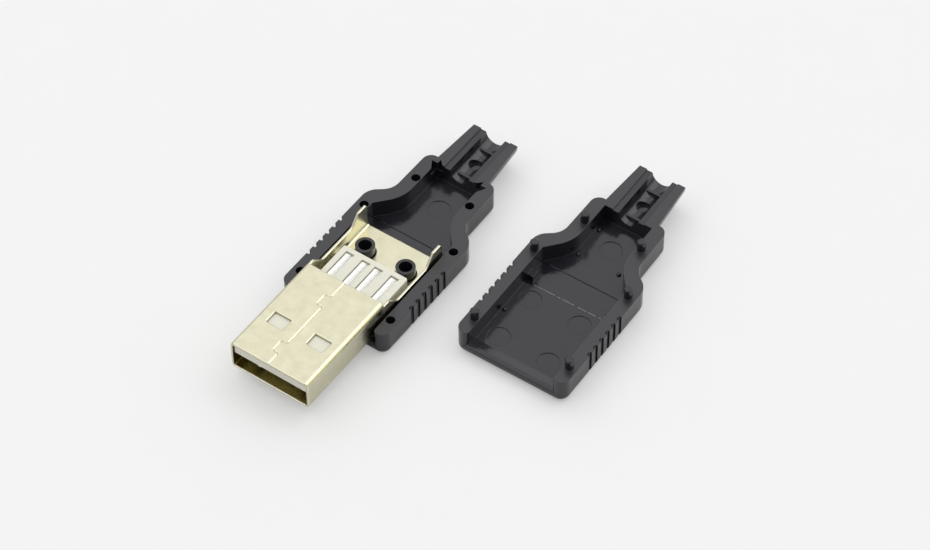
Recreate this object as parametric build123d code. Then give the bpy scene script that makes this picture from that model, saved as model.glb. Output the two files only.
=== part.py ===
from build123d import *
import os

# A USB-A solder plug that lies open on a table. The metal plug, with its insulator and four contacts,
# sits in the lower cover. The upper cover lies beside it with its inside up.
#
# Every piece is drawn in one frame: X across the plug, Y from the mouth towards the cable, Z up, with
# the mouth at y = 0 and the plane where the two covers meet at z = 0. At the end everything is moved
# so that the table is z = 0 and the origin is under the middle of the lower cover's grip.
# All lengths are in millimetres. A place called "back" is measured towards the cable from the face that
# it follows, and one called "lead" towards the mouth.

# Fits and cutting
overrun = 1.0
fit = 0.03
seat_clearance = 0.05

# Plug shell: one folded sheet
sheet = 0.3
shell_width = 12.0
shell_height = 4.5
fold_radius = 0.65
tube_length = 15.7
tray_length = 28.1
shoulder_length = 1.1
shoulder_height = 3.95
drop_length = 1.8
flange_height = 2.35
ear_height = 4.0
ear_length = 1.8
ear_slope = 1.4
ear_corner = 0.3
drop_round = 0.8

seam_gap = 0.04
seam_tab_reach = 0.88
seam_tab_length = 1.85
seam_tab_round = 0.3
edge_ease = 0.1
ease_slope = 45
front_tab_back = 2.05
rear_tab_lead = 4.7

window_width = 2.5
window_length = 1.95
window_start = 5.2
window_spacing = 6.2
window_corner = 0.2

# Tube posts of the lower cover, through the holes of the shell's floor
post_spacing = 6.36
post_lead = 4.0
post_radius = 1.3
post_bore_radius = 0.88
post_height = 1.65
post_hole_clearance = 0.12
post_foot_radius = 2.0

# Insulator
tongue_side_gap = 0.15
tongue_thickness = 1.84
tongue_recess = 0.3
tongue_chamfer = 0.2
body_recess = 0.5
body_length = 3.2
block_top_height = 2.0
block_inset = 0.6
block_to_post = 0.6
block_corner = 0.3
gate_width = 0.45
gate_height = 0.12
gate_place = 1.85

# Contacts
outer_spacing = 7.0
inner_spacing = 2.0
outer_contact_start = 1.3
inner_contact_start = 2.3
contact_width = 1.0
contact_thickness = 0.25
contact_proud = 0.05
contact_tip_chamfer = 0.12
joggle_back = 0.8
joggle_length = 1.0
tab_width = 1.1
tab_lead = 0.8
tab_drop = 0.1
tab_end_chamfer = 0.15
cup_width = 0.84
cup_depth = 0.13
cup_lead = 0.45
channel_gap_left = 0.12
channel_gap_right = 0.06
channel_lead = 0.7

# Covers: outside
nose_length = 12.75
side_wall = 1.85
tail_wall = 2.0
tail_taper = 0.1
floor_thickness = 1.35
grip_corner_back = 1.15
shoulder_run = 1.95
tail_reach = 10.95
neck_length = 7.4
neck_taper = 0.6
grip_shoulder_round = 2.4
tail_shoulder_round = 2.6
front_corner = 1.3
rear_corner = 1.3
bottom_round = 1.2

groove_count = 6
groove_pitch = 1.363
groove_width = 0.64
groove_floor_width = 0.36
groove_depth = 0.4

# Covers: inside
cavity_clearance = 0.3
lip_height = 0.4
room_behind_tray = 2.2
hollow_corner_lead = 0.35
hollow_shoulder_run = 3.1
hollow_shoulder_round = 5.2
cavity_tail_width = 7.1
rear_wall = 0.9
trough_lead = 2.0
trough_depth = 0.12
lip_length = 0.65
lip_slope = 1.3
lip_round = 0.35
mouth_round = 0.6

# Cable channel in the neck of each cover
channel_radius = 1.5
channel_drop = 0.15
ledge_width = 4.7
ledge_depth = 0.2
front_rib_back = 1.0
rear_rib_back = 6.05
rib_thickness = 0.35
rib_height = 0.43
dimple_back = 3.65
dimple_radius = 0.9
dimple_depth = 2.15

# Pins on the upper cover and the blind holes of the lower cover that they press into
pin_inset = 0.73
rear_pin_inset = 0.7
front_pin_back = 2.85
middle_pin_lead = 1.15
rear_pin_lead = 4.6
pin_radius = 0.58
pin_height = 1.5
pin_edge = 0.12
pin_clearance = 0.03
hole_extra_depth = 0.2

# Small moulded marks
mark_radius = 1.5
mark_depth = 0.1
mark_spacing = 7.4
mark_shift = -0.38
front_mark_back = 3.85
rear_mark_lead = 2.35
upper_tail_mark_lead = 4.05
lower_tail_mark_lead = 4.5

# Hold-down blocks of the upper cover, over the ears of the shell
block_width = 0.9
block_length = 1.4
block_lead = 1.7

# Corner pockets of the lower cover beside the channel
side_pocket_reach = 0.75
side_pocket_length = 1.3
end_pocket_reach = 0.7
end_pocket_width = 0.75
pocket_rib = 0.15
pocket_depth = 1.2

# How the upper cover lies beside the plug
beside_gap = 6.4
beside_back = 6.45
beside_turn = 1.06

# Heights that follow from the sizes above
shell_bottom = -shell_height / 2
shell_top = shell_height / 2
plate_top = shell_bottom + sheet
ease_depth = 2 * edge_ease
roof_under = shell_top - sheet
tongue_under = roof_under - tongue_thickness
terminal_top = plate_top + block_top_height
tab_top = terminal_top - tab_drop
lip_top = shell_bottom - seat_clearance
cavity_floor = lip_top - lip_height
cover_bottom = cavity_floor - floor_thickness

# Widths
tongue_width = shell_width - 2 * sheet - 2 * tongue_side_gap
terminal_width = tongue_width - 2 * block_inset
cavity_half = shell_width / 2 + cavity_clearance
cavity_tail_half = cavity_tail_width / 2
grip_half = cavity_half + side_wall
tail_half = cavity_tail_half + tail_wall

# Places along the plug
post_place = tray_length - post_lead
body_end = tube_length - body_recess
body_start = body_end - body_length
terminal_end = post_place - post_radius - block_to_post
tab_end = terminal_end - tab_lead
cup_start = body_end + cup_lead
cover_front = nose_length
cavity_bend = tray_length + room_behind_tray
hollow_corner = cavity_bend - hollow_corner_lead
grip_end = cavity_bend + grip_corner_back
tail_end = cavity_bend + tail_reach
cover_end = tail_end + neck_length
cavity_end = tail_end - rear_wall
rest_place = (cover_front + grip_end) / 2

contact_places = (
    (-outer_spacing / 2, outer_contact_start),
    (-inner_spacing / 2, inner_contact_start),
    (inner_spacing / 2, inner_contact_start),
    (outer_spacing / 2, outer_contact_start),
)
pin_places = (
    (cavity_half + pin_inset, cover_front + front_pin_back),
    (cavity_half + pin_inset, cavity_bend - middle_pin_lead),
    (cavity_tail_half + rear_pin_inset, tail_end - rear_pin_lead),
)


def mirrored(shape):
    return shape + mirror(shape, Plane.YZ)


def flat_outline(points, rounds=()):
    """A flat face through the points; each (point, radius) in rounds has its corner rounded."""
    face = make_face(Polyline(*points, close=True))
    for place, radius in rounds:
        corner = face.vertices().sort_by_distance(Vector(*place))[0]
        face = fillet(corner, radius)
    return face


def through_width(face, width):
    """A profile drawn in Y and Z, run across the plug to the given width."""
    return extrude(Plane.YZ * face, width / 2, both=True)


def along_plug(face, start, end):
    """A profile drawn in X and Z, run along the plug from start to end."""
    return Pos(0, start, 0) * extrude(Plane.XZ * face, start - end)


def upright(face, low, high):
    """A profile drawn in X and Y, run up from low to high."""
    return Pos(0, 0, low) * extrude(face, high - low)


# Plug shell


def shell_side_profile():
    """The side of the folded sheet: full height on the tube, then a drop, a low flange and an ear."""
    drop_start = tube_length + shoulder_length
    flange_start = drop_start + drop_length
    ear_end = tray_length - ear_corner
    ear_start = tray_length - ear_length
    shoulder = shell_bottom + shoulder_height
    flange = shell_bottom + flange_height
    ear = shell_bottom + ear_height
    top = shell_top + overrun
    points = [
        (-overrun, shell_bottom - overrun),
        (-overrun, top),
        (tube_length, top),
        (tube_length, shoulder),
        (drop_start, shoulder),
        (flange_start, flange),
        (ear_start - ear_slope, flange),
        (ear_start, ear),
        (ear_end, ear),
        (tray_length, ear - ear_corner),
        (tray_length, shell_bottom - overrun),
    ]
    rounds = [
        (points[4], drop_round / 2),
        (points[5], drop_round),
        (points[6], drop_round),
        (points[7], drop_round / 4),
    ]
    return flat_outline(points, rounds)


def eased(opening):
    """A shallow trench with sloping sides, which takes the sharp lip off an opening in the tube's top."""
    return Pos(0, 0, shell_top + edge_ease) * extrude(opening, -ease_depth, taper=ease_slope)


def seam_line():
    """The line where the two edges of the sheet meet, with its two interlocking tabs."""
    points = [(0, -overrun)]
    for start in (front_tab_back, tube_length - rear_tab_lead):
        points += [(0, start), (-seam_tab_reach, start)]
        points += [(-seam_tab_reach, start + seam_tab_length), (0, start + seam_tab_length)]
    points.append((0, tube_length + overrun))
    return FilletPolyline(*points, radius=seam_tab_round)


def seam_slot():
    slot = upright(trace(seam_line(), seam_gap), 0, shell_top + overrun)
    return slot + eased(trace(seam_line(), seam_gap + 2 * ease_depth))


def windows():
    window = RectangleRounded(window_width, window_length, window_corner)
    middle = window_start + window_length / 2
    pair = mirrored(Pos(window_spacing / 2, middle) * window)
    return upright(pair, -shell_height, shell_height) + eased(offset(pair, ease_depth))


def plug_shell():
    outside = RectangleRounded(shell_width, shell_height, fold_radius)
    inside = RectangleRounded(shell_width - 2 * sheet, shell_height - 2 * sheet, fold_radius - sheet)
    tube = along_plug(outside - inside, 0, tray_length)
    tube = chamfer(tube.faces().sort_by(Axis.Y)[0].outer_wire().edges(), edge_ease)
    tube &= through_width(shell_side_profile(), shell_width + overrun)
    hole = Pos(post_spacing / 2, post_place) * Circle(post_radius + post_hole_clearance)
    return tube - seam_slot() - windows() - upright(mirrored(hole), shell_bottom - overrun, 0)


# Contacts


def contact_profile(start):
    """Side view of a contact: flat under the tongue, a small step in the body, then the solder tab."""
    low = tongue_under - contact_proud
    high = low + contact_thickness
    tab_low = tab_top - contact_thickness
    joggle_start = body_start + joggle_back
    joggle_end = joggle_start + joggle_length
    points = [
        (start, low + contact_tip_chamfer),
        (start, high),
        (joggle_start, high),
        (joggle_end, tab_top),
        (tab_end - tab_end_chamfer, tab_top),
        (tab_end, tab_top - tab_end_chamfer),
        (tab_end, tab_low),
        (joggle_end, tab_low),
        (joggle_start, low),
        (start + contact_tip_chamfer, low),
    ]
    return flat_outline(points)


def widened_at_tab(profile, width, tab):
    """A contact profile run across to its width, and to the wider tab behind the insulator's body."""
    tab_zone = along_plug(Rectangle(tab, shell_height), body_end, tab_end + overrun)
    return through_width(profile, width) + (through_width(profile, tab) & tab_zone)


def solder_cup():
    """The shallow round channel, pressed along the tab, that holds the wire and its solder."""
    radius = ((cup_width / 2) ** 2 + cup_depth**2) / (2 * cup_depth)
    middle = tab_top - cup_depth + radius
    round_end = Pos(0, cup_start, middle) * Sphere(radius)
    return along_plug(Pos(0, middle) * Circle(radius), cup_start, tab_end + overrun) + round_end


def contact(x, start):
    blank = widened_at_tab(contact_profile(start), contact_width, tab_width)
    return Pos(x, 0, 0) * (blank - solder_cup())


# Insulator


def tongue():
    low = tongue_under
    high = roof_under - fit
    points = [
        (tongue_recess, low + tongue_chamfer),
        (tongue_recess, high),
        (body_start, high),
        (body_start, low),
        (tongue_recess + tongue_chamfer, low),
    ]
    blade = through_width(flat_outline(points), tongue_width)
    roof_edges = blade.edges().filter_by(Axis.Y).group_by(Axis.Z)[-1]
    return fillet(roof_edges, fold_radius - sheet)


def gate_mark():
    """The stub that is left under the tongue's front edge where the plastic came in."""
    low = tongue_under - gate_height
    section = Pos(-gate_place, (low + tongue_under + tongue_chamfer) / 2)
    section *= Rectangle(gate_width, gate_height + tongue_chamfer)
    return along_plug(section, tongue_recess + tongue_chamfer / 2, tongue_recess + 2 * tongue_chamfer)


def insulator_body():
    gap = sheet + fit
    section = RectangleRounded(shell_width - 2 * gap, shell_height - 2 * gap, fold_radius - sheet)
    return along_plug(section, body_start, body_end)


def terminal_block():
    length = terminal_end - body_end
    face = Pos(0, body_end + length / 2) * Rectangle(terminal_width, length)
    rear = face.vertices().group_by(Axis.Y)[-1]
    return upright(fillet(rear, block_corner), plate_top + fit, terminal_top)


def contact_slot(x, start):
    """Room for a contact in the insulator, and the open channel round its solder tab."""
    profile = offset(contact_profile(start), fit, kind=Kind.INTERSECTION)
    slot = widened_at_tab(profile, contact_width + 2 * fit, tab_width + 2 * fit)
    floor = tab_top - contact_thickness
    width = tab_width + channel_gap_left + channel_gap_right
    middle = (channel_gap_right - channel_gap_left) / 2
    face = Pos(middle, (floor + shell_top) / 2) * Rectangle(width, shell_top - floor)
    return Pos(x, 0, 0) * (slot + along_plug(face, body_end, terminal_end - channel_lead))


def insulator():
    moulding = tongue() + gate_mark() + insulator_body() + terminal_block()
    for x, start in contact_places:
        moulding -= contact_slot(x, start)
    return moulding


# Covers


def cover_outline():
    """Plan of a cover without its neck: grip, S-shaped shoulder and tail."""
    points = [
        (0, cover_front),
        (grip_half, cover_front),
        (grip_half, grip_end),
        (tail_half, grip_end + shoulder_run),
        (tail_half - tail_taper, tail_end),
        (0, tail_end),
    ]
    rounds = [
        (points[1], front_corner),
        (points[2], grip_shoulder_round),
        (points[3], tail_shoulder_round),
        (points[4], rear_corner),
    ]
    return mirrored(flat_outline(points, rounds))


def cavity_outline():
    """Plan of the hollow: flared at the mouth, straight round the shell, then in beside the shoulder."""
    mouth = cavity_half + mouth_round
    points = [
        (0, cover_front - overrun),
        (mouth, cover_front - overrun),
        (mouth, cover_front + mouth_round),
        (cavity_half, cover_front + mouth_round),
        (cavity_half, hollow_corner),
        (cavity_tail_half, hollow_corner + hollow_shoulder_run),
        (cavity_tail_half, cavity_end),
        (0, cavity_end),
    ]
    hollow = flat_outline(points, [(points[5], hollow_shoulder_round)])
    return mirrored(hollow - Pos(mouth, cover_front + mouth_round) * Circle(mouth_round))


def neck():
    """The lower half of the round neck, level with the cover's underside and narrower at the cable."""
    root = tail_end - rear_corner
    length = cover_end - root
    radius = -cover_bottom
    cone = Cone(radius, radius - neck_taper, length, align=(Align.CENTER, Align.CENTER, Align.MIN))
    lower_half = upright(Pos(0, root + length / 2) * Rectangle(2 * grip_half, length), cover_bottom, 0)
    return (Pos(0, root, 0) * Rot(-90, 0, 0) * cone) & lower_half


def grip_grooves():
    """Upright grooves with eased floors down both flanks of the grip, spread about its middle."""
    half = groove_width / 2
    floor_half = groove_floor_width / 2
    floor = grip_half - groove_depth
    ease = floor + half - floor_half
    points = [
        (grip_half + overrun, -half),
        (grip_half + overrun, half),
        (ease, half),
        (floor, floor_half),
        (floor, -floor_half),
        (ease, -half),
    ]
    groove = flat_outline(points)
    first = rest_place - groove_pitch * (groove_count - 1) / 2
    row = [Pos(0, first + number * groove_pitch) * groove for number in range(groove_count)]
    return upright(mirrored(Sketch() + row), cover_bottom - overrun, overrun)


def mouth_lip():
    """The low sill across the mouth of the cover that the tube lies on."""
    low = cavity_floor - overrun
    points = [
        (cover_front, low),
        (cover_front, lip_top),
        (cover_front + lip_length, lip_top),
        (cover_front + lip_length + lip_slope, cavity_floor),
        (cover_front + lip_length + lip_slope, low),
    ]
    return through_width(flat_outline(points, [(points[1], lip_round)]), 2 * (cavity_half + mouth_round))


def cable_channel():
    """Half-round channel for the cable, with a shallow ledge on each side of it."""
    end = cover_end + overrun
    round_part = along_plug(Pos(0, -channel_drop) * Circle(channel_radius), cavity_end - overrun, end)
    ledge = Pos(0, (overrun - ledge_depth) / 2) * Rectangle(ledge_width, overrun + ledge_depth)
    return round_part + along_plug(ledge, cavity_end, end)


def cable_ribs():
    """Thin half-moon ribs that bite into the cable's jacket."""
    bottom = -channel_drop - channel_radius
    section = Pos(0, -channel_drop) * Circle(channel_radius + fit)
    section &= Pos(0, bottom + rib_height - channel_radius) * Rectangle(2 * channel_radius, 2 * channel_radius)
    places = (cavity_end + front_rib_back, cavity_end + rear_rib_back)
    return Part() + [along_plug(section, place, place + rib_thickness) for place in places]


def cover_blank():
    """What the two covers share: outside, hollow, sill, neck and cable channel."""
    outside = upright(cover_outline(), cover_bottom, 0)
    outside = fillet(outside.faces().sort_by(Axis.Z)[0].edges(), bottom_round)
    body = outside + neck() - grip_grooves()
    body -= upright(cavity_outline(), cavity_floor, overrun)
    trough_start = tray_length - trough_lead
    trough_length = hollow_corner - trough_start
    trough = Pos(0, trough_start + trough_length / 2) * Rectangle(2 * cavity_half, trough_length)
    body -= upright(trough, cavity_floor - trough_depth, 0)
    body += mouth_lip() & outside
    body -= cable_channel()
    dimple = Pos(0, cavity_end + dimple_back) * Circle(dimple_radius)
    return body + cable_ribs() - upright(dimple, -dimple_depth, 0)


def floor_mark(x, y):
    """A round ejector mark, slightly sunk into the floor of the hollow."""
    return upright(Pos(x, y) * Circle(mark_radius), cavity_floor - mark_depth, 0)


def post():
    """A tube post with a wider foot that carries the floor of the shell."""
    foot = upright(Circle(post_foot_radius), cavity_floor - overrun, shell_bottom)
    stem = upright(Circle(post_radius), shell_bottom, shell_bottom + post_height)
    return Pos(post_spacing / 2, post_place, 0) * (foot + stem)


def post_bore():
    bore = upright(Circle(post_bore_radius), cavity_floor, overrun)
    return Pos(post_spacing / 2, post_place, 0) * bore


def corner_pocket():
    """Two small wedge-shaped pockets at the rear corner of the hollow, with a sharp rib between."""
    side = cavity_tail_half
    inner = side - pocket_rib - end_pocket_width
    points = [
        (side, cavity_end - side_pocket_length),
        (side + side_pocket_reach, cavity_end),
        (side - pocket_rib, cavity_end),
        (side - pocket_rib, cavity_end + end_pocket_reach),
        (inner, cavity_end),
        (inner, cavity_end - side_pocket_length),
    ]
    return upright(flat_outline(points), -pocket_depth, overrun)


def lower_cover():
    cover = cover_blank() + mirrored(post()) - mirrored(post_bore())
    cover -= floor_mark(0, cavity_end - lower_tail_mark_lead)
    cover -= mirrored(corner_pocket())
    depth = pin_height + hole_extra_depth
    for x, y in pin_places:
        hole = Pos(x, y) * Circle(pin_radius + pin_clearance)
        cover -= upright(mirrored(hole), -depth, overrun)
    return cover


def locating_pin(x, y):
    pin = upright(Circle(pin_radius), -pin_edge, pin_height)
    return Pos(x, y, 0) * chamfer(pin.edges().sort_by(Axis.Z)[-1], pin_edge)


def hold_down_block():
    """The small block at the foot of the wall that presses on an ear of the shell."""
    top = -(shell_bottom + ear_height) - seat_clearance
    width = block_width + fit
    face = Pos(cavity_half - block_width + width / 2, tray_length - block_lead + block_length / 2)
    return upright(face * Rectangle(width, block_length), cavity_floor - trough_depth - fit, top)


def upper_cover():
    cover = cover_blank()
    for x, y in pin_places:
        cover += mirrored(locating_pin(x, y))
    cover += mirrored(hold_down_block())
    mark_rows = (cover_front + front_mark_back, tray_length - trough_lead - rear_mark_lead)
    for y in mark_rows:
        cover -= floor_mark(mark_shift - mark_spacing / 2, y)
        cover -= floor_mark(mark_shift + mark_spacing / 2, y)
    cover -= floor_mark(0, cavity_end - upper_tail_mark_lead)
    return cover


def save(shape, name):
    """Move a piece from the plug's own frame to the frame of the whole part and write it."""
    shape = Pos(0, -rest_place, -cover_bottom) * shape
    solids = shape.solids()
    export_step(solids[0] if len(solids) == 1 else Compound(solids), f"parts/{name}.step")


os.makedirs("parts", exist_ok=True)
save(plug_shell(), "plug_shell")
save(insulator(), "insulator")
for number, (x, start) in enumerate(contact_places, 1):
    save(contact(x, start), f"contact_{number}")
save(lower_cover(), "lower_cover")
beside = Pos(2 * grip_half + beside_gap, beside_back, 0) * Rot(0, 0, beside_turn)
save(beside * upper_cover(), "upper_cover")
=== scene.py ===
import math
import bpy
import numpy as np
from mathutils import Matrix, Vector


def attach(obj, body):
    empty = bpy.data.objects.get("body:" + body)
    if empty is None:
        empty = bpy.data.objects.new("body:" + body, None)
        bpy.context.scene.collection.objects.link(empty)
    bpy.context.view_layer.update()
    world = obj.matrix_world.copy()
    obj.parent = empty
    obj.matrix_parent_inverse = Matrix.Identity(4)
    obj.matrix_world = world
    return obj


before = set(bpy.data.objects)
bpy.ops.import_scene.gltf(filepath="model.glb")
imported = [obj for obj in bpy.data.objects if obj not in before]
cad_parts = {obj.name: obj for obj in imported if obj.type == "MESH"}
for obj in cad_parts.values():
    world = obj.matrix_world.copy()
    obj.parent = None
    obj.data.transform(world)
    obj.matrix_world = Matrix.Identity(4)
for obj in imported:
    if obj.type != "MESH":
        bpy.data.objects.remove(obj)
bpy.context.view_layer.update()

MM = 0.001


# The plug shell: one strip of nickel-plated steel, stamped flat, then folded into the
# mouth tube with an interlocked seam on top and a plate with two ears behind it.
# The plating is satin and faintly mottled, with a painted highlight along its pressed and cut edges and
# painted shade inside the tube.

def linear(code):
    """The linear colour of an sRGB hex value: each channel is undone from the sRGB curve."""
    srgb = np.array([int(code[place:place + 2], 16) for place in (0, 2, 4)]) / 255
    straight = np.where(srgb > 0.04045, ((srgb + 0.055) / 1.055) ** 2.4, srgb / 12.92)
    return (*straight, 1.0)


def add(tree, kind, inputs, **settings):
    """Adds a shader node, gives it its settings, and fills or links its inputs by name."""
    node = tree.nodes.new("ShaderNode" + kind)
    for name, value in settings.items():
        setattr(node, name, value)
    for name, value in inputs.items():
        if isinstance(value, bpy.types.NodeSocket):
            tree.links.new(value, node.inputs[name])
        else:
            node.inputs[name].default_value = value
    return node


def dress(name, material):
    """Puts a material in every slot of a CAD node."""
    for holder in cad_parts[name].material_slots:
        holder.material = material


# Nickel on cold-rolled steel, barrel plated: a pale, slightly yellow metal, satin rather
# than mirror, mottled where pieces rubbed in the barrel, with faint streaks of the strip.
nickel = bpy.data.materials.new("nickel_plated_steel_strip")
nickel.use_nodes = True
tree = nickel.node_tree
shine = tree.nodes["Principled BSDF"]
place = add(tree, "TexCoord", {}).outputs["Object"]

# The mottling is soft and broad, with finer dimples in it. The strip's rolling streaks
# run along the plug and hardly show.
mottle_size = 1.3 * MM
speckle_size = 0.3 * MM
streak_width = 0.2 * MM
streak_length = 4 * MM
streak_depth = 0.001 * MM
dimple_depth = 0.004 * MM
mottle = add(tree, "TexNoise", {"Vector": place, "Scale": 1 / mottle_size, "Detail": 4.0, "Roughness": 0.5})
speckle = add(tree, "TexNoise", {"Vector": place, "Scale": 1 / speckle_size, "Detail": 2.0})
streak_place = add(tree, "Mapping", {
    "Vector": place, "Scale": (1 / streak_width, 1 / streak_length, 1 / streak_width)})
streaks = add(tree, "TexNoise", {"Vector": streak_place.outputs[0], "Scale": 1.0, "Detail": 3.0})
tone = add(tree, "Mix", {
    "Factor": mottle.outputs["Fac"], "A": linear("c2bea2"), "B": linear("dad6be")}, data_type="RGBA")
rough = add(tree, "MapRange", {
    "Value": mottle.outputs["Fac"], "From Min": 0.3, "From Max": 0.7, "To Min": 0.2, "To Max": 0.3})

# Inside the tube the plating is painted darker and more yellow: painted shade for the
# dim inside of the tube, where light bounces between its yellow walls. The inside ends
# halfway through the sheet, all round, and a little behind the mouth.
tube_middle = (0, 0, 4.05 * MM)
inside_half_width = 5.85 * MM
inside_half_height = 2.1 * MM
inside_middle = -14.15 * MM
inside_half_length = 7.75 * MM
from_middle = add(tree, "VectorMath", {0: place, 1: tube_middle}, operation="SUBTRACT")
apart = add(tree, "VectorMath", {0: from_middle.outputs[0]}, operation="ABSOLUTE")
aside = add(tree, "SeparateXYZ", {0: apart.outputs[0]})
along = add(tree, "SeparateXYZ", {0: place})
narrow = add(tree, "Math", {0: aside.outputs["X"], 1: inside_half_width}, operation="LESS_THAN")
low = add(tree, "Math", {0: aside.outputs["Z"], 1: inside_half_height}, operation="LESS_THAN")
ahead = add(tree, "Math", {
    0: along.outputs["Y"], 1: inside_middle, 2: inside_half_length}, operation="COMPARE")
within = add(tree, "Math", {0: narrow.outputs[0], 1: low.outputs[0]}, operation="MULTIPLY")
painted_inside_shade = add(tree, "Math", {0: within.outputs[0], 1: ahead.outputs[0]}, operation="MULTIPLY")
tone = add(tree, "Mix", {
    "Factor": painted_inside_shade.outputs[0], "A": tone.outputs["Result"], "B": linear("b8aa66")}, data_type="RGBA")

# A painted highlight lies on the sheet's cut edges and the lips of the seam and windows: they are
# painted brighter over a small width, where the softened normal leaves the true one.
edge_highlight_width = 0.2 * MM
soft_edge = add(tree, "Bevel", {"Radius": edge_highlight_width}, samples=8)
true_face = add(tree, "NewGeometry", {})
match = add(tree, "VectorMath", {
    0: soft_edge.outputs[0], 1: true_face.outputs["Normal"]}, operation="DOT_PRODUCT")
painted_edge_highlight = add(tree, "MapRange", {
    "Value": match.outputs["Value"], "From Min": 0.99, "From Max": 0.85, "To Min": 0.0, "To Max": 1.0})
tone = add(tree, "Mix", {
    "Factor": painted_edge_highlight.outputs["Result"], "A": tone.outputs["Result"], "B": linear("f6f2e0")}, data_type="RGBA")
tree.links.new(tone.outputs["Result"], shine.inputs["Base Color"])
tree.links.new(rough.outputs["Result"], shine.inputs["Roughness"])
shine.inputs["Metallic"].default_value = 1.0
rolled = add(tree, "Bump", {
    "Height": streaks.outputs["Fac"], "Distance": streak_depth, "Strength": 0.5,
    "Normal": soft_edge.outputs[0]})
dimpled = add(tree, "Bump", {
    "Height": speckle.outputs["Fac"], "Distance": dimple_depth, "Strength": 0.5,
    "Normal": rolled.outputs[0]})
tree.links.new(dimpled.outputs[0], shine.inputs["Normal"])
dress("plug_shell", nickel)


# The insulator: a white thermoplastic polyester block and tongue, injection moulded,
# that slides into the tube from behind and carries the four contacts.
# It is satin, and a little light passes into it, so its corners look soft.

polyester = bpy.data.materials.new("white_polyester_moulded")
polyester.use_nodes = True
tree = polyester.node_tree
body = tree.nodes["Principled BSDF"]
place = add(tree, "TexCoord", {}).outputs["Object"]

# Flow marks in the moulding are broad and faint; the spark-cut tool gives a fine grain.
flow_size = 1.5 * MM
spark_size = 0.09 * MM
spark_depth = 0.004 * MM
flow = add(tree, "TexNoise", {"Vector": place, "Scale": 1 / flow_size, "Detail": 3.0})
spark = add(tree, "TexNoise", {"Vector": place, "Scale": 1 / spark_size, "Detail": 2.0})
tone = add(tree, "Mix", {
    "Factor": flow.outputs["Fac"], "A": linear("d7d6c6"), "B": linear("e0decf")}, data_type="RGBA")
tree.links.new(tone.outputs["Result"], body.inputs["Base Color"])
rough = add(tree, "MapRange", {"Value": spark.outputs["Fac"], "To Min": 0.4, "To Max": 0.55})
tree.links.new(rough.outputs["Result"], body.inputs["Roughness"])
body.inputs["IOR"].default_value = 1.57

# Light reaches this far into the plastic, red the furthest, and the edges are eased.
light_reach = (0.5 * MM, 0.45 * MM, 0.4 * MM)
insulator_edge = 0.1 * MM
body.inputs["Subsurface Weight"].default_value = 0.15
body.inputs["Subsurface Radius"].default_value = light_reach
body.inputs["Subsurface Scale"].default_value = 1.0
soft_edge = add(tree, "Bevel", {"Radius": insulator_edge}, samples=6)
grained = add(tree, "Bump", {
    "Height": spark.outputs["Fac"], "Distance": spark_depth, "Strength": 0.4,
    "Normal": soft_edge.outputs[0]})
tree.links.new(grained.outputs[0], body.inputs["Normal"])
dress("insulator", polyester)


# The four contacts: brass strip stamped and coined, then tin plated, pressed into grooves
# of the insulator. Each ends in a wide solder tab behind the tube.
# The tin is nearly white, with soft scratches along the tab from the stamping.

tin = bpy.data.materials.new("tinned_brass_strip")
tin.use_nodes = True
tree = tin.node_tree
shine = tree.nodes["Principled BSDF"]
place = add(tree, "TexCoord", {}).outputs["Object"]

# The tin has a grain too. Scratches and grain are drawn wider and deeper than real ones,
# so that they show.
scratch_width = 0.15 * MM
scratch_length = 3 * MM
scratch_depth = 0.08 * MM
grain_size = 0.35 * MM
grain_depth = 0.06 * MM
strip_edge = 0.06 * MM
scratch_place = add(tree, "Mapping", {
    "Vector": place, "Scale": (1 / scratch_width, 1 / scratch_length, 1 / scratch_width)})
scratches = add(tree, "TexNoise", {"Vector": scratch_place.outputs[0], "Scale": 1.0, "Detail": 2.0})
grain = add(tree, "TexNoise", {"Vector": place, "Scale": 1 / grain_size, "Detail": 3.0})
tone = add(tree, "Mix", {
    "Factor": grain.outputs["Fac"], "A": linear("b8b8b0"), "B": linear("eeeee8")}, data_type="RGBA")
tree.links.new(tone.outputs["Result"], shine.inputs["Base Color"])
rough = add(tree, "MapRange", {
    "Value": scratches.outputs["Fac"], "From Min": 0.3, "From Max": 0.7, "To Min": 0.2, "To Max": 0.4})
tree.links.new(rough.outputs["Result"], shine.inputs["Roughness"])
shine.inputs["Metallic"].default_value = 1.0
soft_edge = add(tree, "Bevel", {"Radius": strip_edge}, samples=6)
scored = add(tree, "Bump", {
    "Height": scratches.outputs["Fac"], "Distance": scratch_depth, "Strength": 0.6,
    "Normal": soft_edge.outputs[0]})
pooled = add(tree, "Bump", {
    "Height": grain.outputs["Fac"], "Distance": grain_depth, "Strength": 0.6,
    "Normal": scored.outputs[0]})
tree.links.new(pooled.outputs[0], shine.inputs["Normal"])
for number in range(1, 5):
    dress(f"contact_{number}", tin)


# The two cover halves: black ABS, injection moulded in one tool, with posts or pins, a
# cable channel with bite ribs and a ribbed grip. They close over the plug and the cable.
# ABS gives a deep black with a soft gleam, and walls mirror dimly in its wavy floors.

abs_black = bpy.data.materials.new("black_abs_moulded")
abs_black.use_nodes = True
tree = abs_black.node_tree
body = tree.nodes["Principled BSDF"]
place = add(tree, "TexCoord", {}).outputs["Object"]

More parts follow.
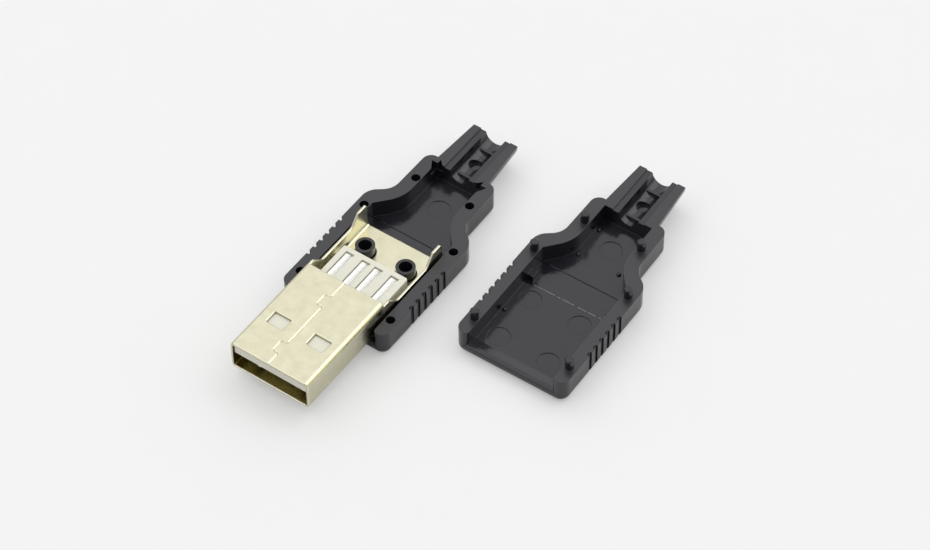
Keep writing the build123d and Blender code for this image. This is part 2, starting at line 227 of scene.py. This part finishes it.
# Where the melt cooled unevenly the faces are cloudy and a little wavy, which bends what
# they mirror. The waves are drawn deeper than real ones, so that they show. The spark-cut
# tool gives a fine grain.
cloud_size = 2.4 * MM
wave_depth = 0.1 * MM
cover_spark_size = 0.1 * MM
cover_spark_depth = 0.004 * MM
cover_edge = 0.09 * MM
clouds = add(tree, "TexNoise", {"Vector": place, "Scale": 1 / cloud_size, "Detail": 4.0, "Roughness": 0.6})
spark = add(tree, "TexNoise", {"Vector": place, "Scale": 1 / cover_spark_size, "Detail": 2.0})
tone = add(tree, "Mix", {
    "Factor": clouds.outputs["Fac"], "A": linear("16141a"), "B": linear("211f27")}, data_type="RGBA")
rough = add(tree, "MapRange", {
    "Value": clouds.outputs["Fac"], "From Min": 0.3, "From Max": 0.7, "To Min": 0.13, "To Max": 0.2})

# The parting faces, where the halves meet, come from a ground tool face and are dull; they are painted
# greyer, a painted sheen on these up-facing rims.
parting_height = 4.05 * MM
parting_depth = 0.03 * MM
along = add(tree, "SeparateXYZ", {0: place})
parting_rim_sheen = add(tree, "Math", {
    0: along.outputs["Z"], 1: parting_height, 2: parting_depth}, operation="COMPARE")
tone = add(tree, "Mix", {
    "Factor": parting_rim_sheen.outputs[0], "A": tone.outputs["Result"], "B": linear("2a292d")}, data_type="RGBA")
dull = add(tree, "Mix", {"Factor": parting_rim_sheen.outputs[0], "A": rough.outputs["Result"], "B": 0.35})
tree.links.new(tone.outputs["Result"], body.inputs["Base Color"])
tree.links.new(dull.outputs["Result"], body.inputs["Roughness"])
body.inputs["IOR"].default_value = 1.54
soft_edge = add(tree, "Bevel", {"Radius": cover_edge}, samples=6)
wavy = add(tree, "Bump", {
    "Height": clouds.outputs["Fac"], "Distance": wave_depth, "Strength": 0.5,
    "Normal": soft_edge.outputs[0]})
grained = add(tree, "Bump", {
    "Height": spark.outputs["Fac"], "Distance": cover_spark_depth, "Strength": 0.5,
    "Normal": wavy.outputs[0]})
tree.links.new(grained.outputs[0], body.inputs["Normal"])
dress("lower_cover", abs_black)
dress("upper_cover", abs_black)

# Six small round pips stand on the upper cover's floor. They hold the insulator and the
# wires down. They are moulded with the cover, and polished by the tool's drill point.
pip_radius = 0.32 * MM
pip_height = 0.36 * MM
pip_sink = 0.02 * MM
pip_sides = 24
pip_levels = 8
pip_places = np.array([(5.85, 20.6), (3.05, 33.4), (3.05, 38.3)]) * MM

# The cover lies beside the plug, turned a little. Places on it are given in its own axes.
cover_floor = 1.35 * MM
cover_place = np.array([22.7, -15.65]) * MM
cover_turn = math.radians(1.06)


def domes(centres, radius, height, base, sides, levels):
    """Round pips as one mesh: round each centre, the angle goes about the upright axis and the
    slope from the rim to the top, with a radius of cosine and a height of sine of the slope."""
    around = np.linspace(0, 2 * np.pi, sides, endpoint=False)
    slope = np.linspace(0, np.pi / 2, levels)[:-1]
    ring, turn = np.meshgrid(slope, around, indexing="ij")
    x = radius * np.cos(ring) * np.cos(turn)
    y = radius * np.cos(ring) * np.sin(turn)
    z = base + height * np.sin(ring)
    grid = np.stack([x, y, z], axis=-1).reshape(-1, 3)
    one = np.vstack([grid, [[0, 0, base + height]]])
    rows, columns = ring.shape
    first = np.arange(columns)
    after = (first + 1) % columns
    walls = [np.stack([row * columns + first, row * columns + after,
                       (row + 1) * columns + after, (row + 1) * columns + first], axis=-1)
             for row in range(rows - 1)]
    top = np.full(columns, rows * columns)
    cap = np.stack([(rows - 1) * columns + first, (rows - 1) * columns + after, top], axis=-1)
    under = [list(first[::-1])]
    points, faces = [], []
    for centre in centres:
        start = len(points) * len(one)
        points.append(one + np.array([*centre, 0]))
        for group in (*walls, cap, under):
            faces += (np.array(group) + start).tolist()
    mesh = bpy.data.meshes.new("pips")
    mesh.from_pydata(np.vstack(points).tolist(), [], faces)
    mesh.shade_smooth()
    return mesh


turned = np.array([(math.cos(cover_turn), math.sin(cover_turn)),
                   (-math.sin(cover_turn), math.cos(cover_turn))])
both_sides = np.vstack([pip_places, pip_places * (-1, 1)])
pips = bpy.data.objects.new("upper_cover_pips", domes(
    both_sides @ turned + cover_place, pip_radius, pip_height, cover_floor - pip_sink,
    pip_sides, pip_levels))
bpy.context.scene.collection.objects.link(pips)
pips.data.materials.append(abs_black)
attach(pips, "root")

# Two inserts of the tool meet under the upper cover's floor, and the melt crept between
# them. That skin tore off when the cover came out, and left a low, broken, pale line. The
# line is drawn a little higher than the real one, so that it shows.
flash_start = np.array([-5.0, 26.05]) * MM
flash_length = 10.1 * MM
flash_half_width = 0.06 * MM
flash_height = 0.05 * MM
flash_sink = 0.02 * MM
flash_steps = 70
flash_seed = 4
flash_gap_share = 0.4
flash_full_share = 0.65
arch_points = 7


def broken_ridge(start, length, half_width, height, base, least, steps):
    """A low ridge: half an ellipse with a flat underside, carried along a straight line. Its
    height at a step is the mean of three random numbers, stretched and cut off at both ends."""
    rough_share = np.random.default_rng(flash_seed).random(steps + 2)
    mean = (rough_share[:-2] + rough_share[1:-1] + rough_share[2:]) / 3
    share = np.clip((mean - flash_gap_share) / (flash_full_share - flash_gap_share), 0, 1)
    arch = np.linspace(0, np.pi, arch_points)
    x = start[0] + np.linspace(0, length, steps)[:, None] + 0 * arch
    y = start[1] + half_width * np.cos(arch) + 0 * x
    z = base + (least + height * share[:, None]) * np.sin(arch)
    flat = np.stack([x, y], axis=-1).reshape(-1, 2) @ turned + cover_place
    spot = np.arange(x.size).reshape(x.shape)
    beside = np.roll(spot, -1, axis=1)
    walls = np.stack([spot[:-1], beside[:-1], beside[1:], spot[1:]], axis=-1).reshape(-1, 4)
    ends = [spot[0][::-1].tolist(), spot[-1].tolist()]
    mesh = bpy.data.meshes.new("flash")
    mesh.from_pydata(np.column_stack([flat, z.ravel()]).tolist(), [], walls.tolist() + ends)
    return mesh


flash = bpy.data.objects.new("upper_cover_flash_line", broken_ridge(
    flash_start, flash_length, flash_half_width, flash_height, cover_floor - flash_sink,
    flash_sink / 2, flash_steps))
bpy.context.scene.collection.objects.link(flash)

# The line is painted grey and dull, with small darker spots: partly the whitening of torn ABS, partly a
# painted highlight for the glints on its facets.
spot_size = 0.25 * MM
torn_abs_and_painted_glints = bpy.data.materials.new("black_abs_torn_and_painted_glints")
torn_abs_and_painted_glints.use_nodes = True
tree = torn_abs_and_painted_glints.node_tree
body = tree.nodes["Principled BSDF"]
place = add(tree, "TexCoord", {}).outputs["Object"]
spots = add(tree, "TexNoise", {"Vector": place, "Scale": 1 / spot_size, "Detail": 2.0})
tone = add(tree, "Mix", {
    "Factor": spots.outputs["Fac"], "A": linear("545256"), "B": linear("9a989c")}, data_type="RGBA")
tree.links.new(tone.outputs["Result"], body.inputs["Base Color"])
body.inputs["Roughness"].default_value = 0.45
body.inputs["IOR"].default_value = 1.54
flash.data.materials.append(torn_abs_and_painted_glints)
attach(flash, "root")


# The table: a sheet of matt white card under the plug, which fills the view.
# Card is a nearly even white with no gleam, so the soft shadow shows on it.

# The card lies a hair under the covers, so that no two faces share a plane.
floor_half = 600 * MM
floor_gap = 0.01 * MM
fibre_size = 6 * MM
card = bpy.data.meshes.new("floor")
card.from_pydata([(-floor_half, -floor_half, 0), (floor_half, -floor_half, 0),
                  (floor_half, floor_half, 0), (-floor_half, floor_half, 0)], [], [(0, 1, 2, 3)])
floor = bpy.data.objects.new("floor", card)
floor.location.z = -floor_gap
bpy.context.scene.collection.objects.link(floor)
white_card = bpy.data.materials.new("white_card")
white_card.use_nodes = True
tree = white_card.node_tree
sheet = tree.nodes["Principled BSDF"]
place = add(tree, "TexCoord", {}).outputs["Object"]
fibre = add(tree, "TexNoise", {"Vector": place, "Scale": 1 / fibre_size, "Detail": 3.0})
tone = add(tree, "Mix", {
    "Factor": fibre.outputs["Fac"], "A": linear("e9e9e9"), "B": linear("ebebeb")}, data_type="RGBA")
tree.links.new(tone.outputs["Result"], sheet.inputs["Base Color"])
sheet.inputs["Roughness"].default_value = 0.9
sheet.inputs["Specular IOR Level"].default_value = 0.1

# Part of what the camera sees of the card is a painted glow, an even white emission that makes its shadows
# paler.
painted_glow_share = 0.35
painted_glow_emission = add(tree, "Emission", {"Color": linear("f4f4f4"), "Strength": 1.0})
path = add(tree, "LightPath", {})
seen = add(tree, "Math", {0: path.outputs["Is Camera Ray"], 1: painted_glow_share}, operation="MULTIPLY")
both = add(tree, "MixShader", {0: seen.outputs[0], 1: sheet.outputs[0], 2: painted_glow_emission.outputs[0]})
tree.links.new(both.outputs[0], tree.nodes["Material Output"].inputs["Surface"])
card.materials.append(white_card)


# The camera looks down on the plug from its right front, with a long lens. Its place is
# the one at which the CAD's corners fall on the photograph's.

photo_width = 930
focal_pixels = 3166.7
sensor_width = 36
azimuth, elevation, roll = math.radians(35.588), math.radians(50.066), math.radians(-0.507)
aim = Vector((10.428, 4.78, 4.05)) * MM
away = 398.82 * MM
nearest_seen = 10 * MM
farthest_seen = 10000 * MM
back = Vector((math.sin(azimuth) * math.cos(elevation),
               -math.cos(azimuth) * math.cos(elevation), math.sin(elevation)))
level = Vector((0, 0, 1)).cross(back).normalized()
rise = back.cross(level)
right = math.cos(roll) * level + math.sin(roll) * rise
up = math.cos(roll) * rise - math.sin(roll) * level
camera = bpy.data.objects.new("camera", bpy.data.cameras.new("camera"))
bpy.context.scene.collection.objects.link(camera)
camera.data.sensor_width = sensor_width
camera.data.lens = focal_pixels / photo_width * sensor_width
camera.data.clip_start = nearest_seen
camera.data.clip_end = farthest_seen
axes = Matrix((right, up, back)).transposed().to_4x4()
camera.matrix_world = Matrix.Translation(aim + back * away) @ axes
bpy.context.scene.camera = camera


# The light: a white tent round the table that glows most behind the plug, on the left and
# high up, where the metal and the black floors mirror it. A soft box at the left gives the
# shadow its side. A long one behind and one in front draw bright lines on folds and lips.

tent = bpy.data.worlds.new("tent")
bpy.context.scene.world = tent
tent.use_nodes = True
tree = tent.node_tree
cloth = tree.nodes["Background"]
brightest = tuple(Vector((-0.15, 0.45, 0.88)).normalized())
seen_way = add(tree, "TexCoord", {}).outputs["Generated"]
nearness = add(tree, "VectorMath", {0: seen_way, 1: brightest}, operation="DOT_PRODUCT")
fading = add(tree, "MapRange", {
    "Value": nearness.outputs["Value"], "From Min": 0.0, "From Max": 0.95, "To Min": 0.35, "To Max": 1.24},
    interpolation_type="SMOOTHSTEP")
path = add(tree, "LightPath", {})
shown = add(tree, "Mix", {
    "Factor": path.outputs["Is Camera Ray"], "A": fading.outputs["Result"], "B": 1.0})
tree.links.new(shown.outputs["Result"], cloth.inputs["Strength"])
cloth.inputs["Color"].default_value = linear("ffffff")

# The soft boxes hang this far from the plug. Their sides are given in metres, their power
# in watts.
box_distance = 900 * MM


def soft_box(name, direction, length_way, length, width, power):
    """An oblong area lamp that faces the plug from a direction, its length as near as can be
    along another one, so its three axes are those two made square and their cross product."""
    toward = Vector(direction).normalized()
    side = Vector(length_way).cross(toward).normalized()
    lamp = bpy.data.lights.new(name, "AREA")
    lamp.shape = "RECTANGLE"
    lamp.size = length
    lamp.size_y = width
    lamp.energy = power
    holder = bpy.data.objects.new(name, lamp)
    bpy.context.scene.collection.objects.link(holder)
    axes = Matrix((toward.cross(side), side * -1, toward)).transposed()
    holder.matrix_world = Matrix.Translation(toward * box_distance) @ axes.to_4x4()


soft_box("left", direction=(-1.1, 0.2, 1.1), length_way=(0, 1, 0),
         length=0.5, width=0.5, power=0.4)
soft_box("behind", direction=(0.5, 0.52, 0.69), length_way=(0.8, 0, -0.6),
         length=1.3, width=0.3, power=1.4)
soft_box("front", direction=(-0.37, -0.69, 0.62), length_way=(0, 0.67, 0.74),
         length=1.2, width=0.35, power=0.9)

bpy.context.scene.view_settings.view_transform = "Standard"
